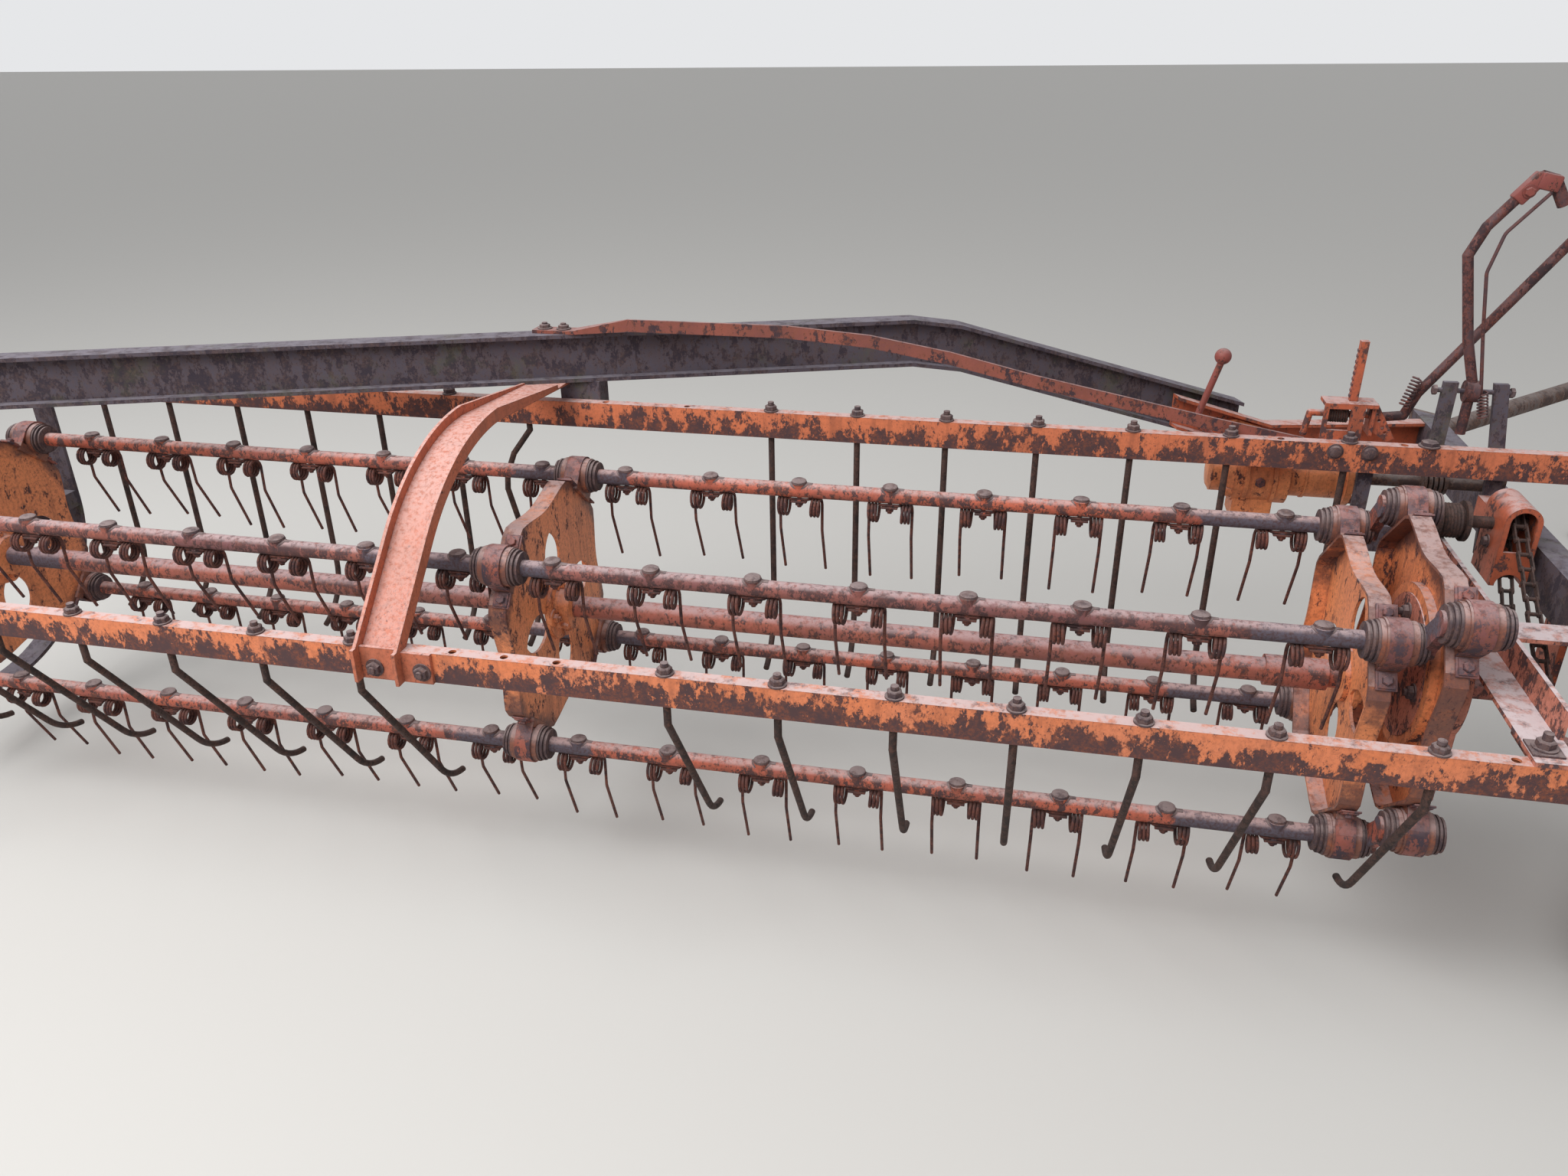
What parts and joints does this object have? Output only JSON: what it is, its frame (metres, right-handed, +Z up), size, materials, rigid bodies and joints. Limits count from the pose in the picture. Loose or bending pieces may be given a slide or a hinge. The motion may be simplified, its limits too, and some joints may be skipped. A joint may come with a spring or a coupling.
{
  "type": "rotary hay rake",
  "caption": "Towed side-delivery hay rake: a reel of parallel tooth bars kept upright by a control spider, in a stripper-rod basket under a cranked beam.",
  "frame": {"origin": "middle of the hitch pin bore in the tongue's clevis, 430 mm above the ground", "axes": "+X along the reel towards its leading end, +Y away from the rear rail, +Z up along the hitch pin; the machine is towed along +X+Y at 45 degrees to the reel"},
  "size_m": [5.5794, 2.9977, 1.4756],
  "materials": {
    "orange_paint": "weathered orange paint, rusted through",
    "rusted_beam": "dark rusted channel steel with some moss",
    "rusted_rod": "rusted rod and spring wire",
    "grey_steel": "dull grey weathered steel",
    "wheel_paint": "faded painted wheel disc",
    "tyre_rubber": "weathered ribbed rubber"
  },
  "bodies": {
    "root": {"main_beam": "rusted_beam", "beam_arm": "orange_paint", "strap_brace": "orange_paint", "center_hanger": "rusted_beam", "curved_arm": "orange_paint", "front_rail": "orange_paint", "rear_rail": "orange_paint", "front_strippers": "rusted_rod", "rear_strippers": "rusted_rod", "left_end_strap": "rusted_beam", "left_hanger": "rusted_beam", "end_arm": "orange_paint", "rail_post": "rusted_beam", "gear_case": "orange_paint", "shift_lever": "rusted_rod", "drive_shaft": "grey_steel", "idler_shaft": "rusted_rod", "chain_hood": "orange_paint", "drive_chain": "rusted_rod", "crank_adjuster": "orange_paint", "lever_bracket": "rusted_beam", "end_channel": "rusted_beam", "tongue": "grey_steel", "hitch_clevis": "grey_steel", "stand_leg": "grey_steel", "wheel_leg": "orange_paint", "castor_mast": "orange_paint", "tilt_lever": "rusted_rod", "lift_lever": "rusted_rod"},
    "reel": {"core_shaft": "orange_paint", "reel_spiders": "orange_paint"},
    "bar_a": {"tooth_bar_a": "orange_paint", "tines_a": "rusted_rod"},
    "bar_b": {"tooth_bar_b": "orange_paint", "tines_b": "rusted_rod"},
    "bar_c": {"tooth_bar_c": "orange_paint", "tines_c": "rusted_rod"},
    "bar_d": {"tooth_bar_d": "orange_paint", "tines_d": "rusted_rod"},
    "control": {"control_spider": "orange_paint"},
    "main_wheel": {"wheel_rim": "wheel_paint", "wheel_tyre": "tyre_rubber"},
    "castor": {"castor_fork": "orange_paint"},
    "castor_wheel": {"castor_rim": "wheel_paint", "castor_tyre": "tyre_rubber"}
  },
  "joints": [
    {"name": "reel_spin", "type": "hinge", "parent": "root", "child": "reel", "pos_m": [-3.25608, -2.38208, 0.115], "axis": [1, 0, 0], "continuous": true},
    {"name": "control_spin", "type": "hinge", "parent": "root", "child": "control", "pos_m": [-1.51608, -2.44608, 0.188], "axis": [1, 0, 0], "continuous": true},
    {"name": "bar_a_pitch", "type": "hinge", "parent": "reel", "child": "bar_a", "pos_m": [-3.25608, -2.18075, 0.35073], "axis": [1, 0, 0], "continuous": true},
    {"name": "bar_b_pitch", "type": "hinge", "parent": "reel", "child": "bar_b", "pos_m": [-3.25608, -2.61781, 0.31633], "axis": [1, 0, 0], "continuous": true},
    {"name": "bar_c_pitch", "type": "hinge", "parent": "reel", "child": "bar_c", "pos_m": [-3.25608, -2.58341, -0.12073], "axis": [1, 0, 0], "continuous": true},
    {"name": "bar_d_pitch", "type": "hinge", "parent": "reel", "child": "bar_d", "pos_m": [-3.25608, -2.14636, -0.08633], "axis": [1, 0, 0], "continuous": true},
    {"name": "main_wheel_spin", "type": "hinge", "parent": "root", "child": "main_wheel", "pos_m": [-0.92608, -2.42208, -0.09], "axis": [0.7071, -0.7071, 0], "continuous": true},
    {"name": "castor_swivel", "type": "hinge", "parent": "root", "child": "castor", "pos_m": [-5.27608, -2.69446, 0.155], "axis": [0, 0, 1], "continuous": true},
    {"name": "castor_wheel_spin", "type": "hinge", "parent": "castor", "child": "castor_wheel", "pos_m": [-5.38215, -2.80053, -0.225], "axis": [0.7071, -0.7071, 0], "continuous": true}
  ],
  "couplings": [
    {"joint": "control_spin", "follows": "reel_spin", "ratio": 1},
    {"joint": "bar_a_pitch", "follows": "reel_spin", "ratio": -1},
    {"joint": "bar_b_pitch", "follows": "reel_spin", "ratio": -1},
    {"joint": "bar_c_pitch", "follows": "reel_spin", "ratio": -1},
    {"joint": "bar_d_pitch", "follows": "reel_spin", "ratio": -1}
  ]
}
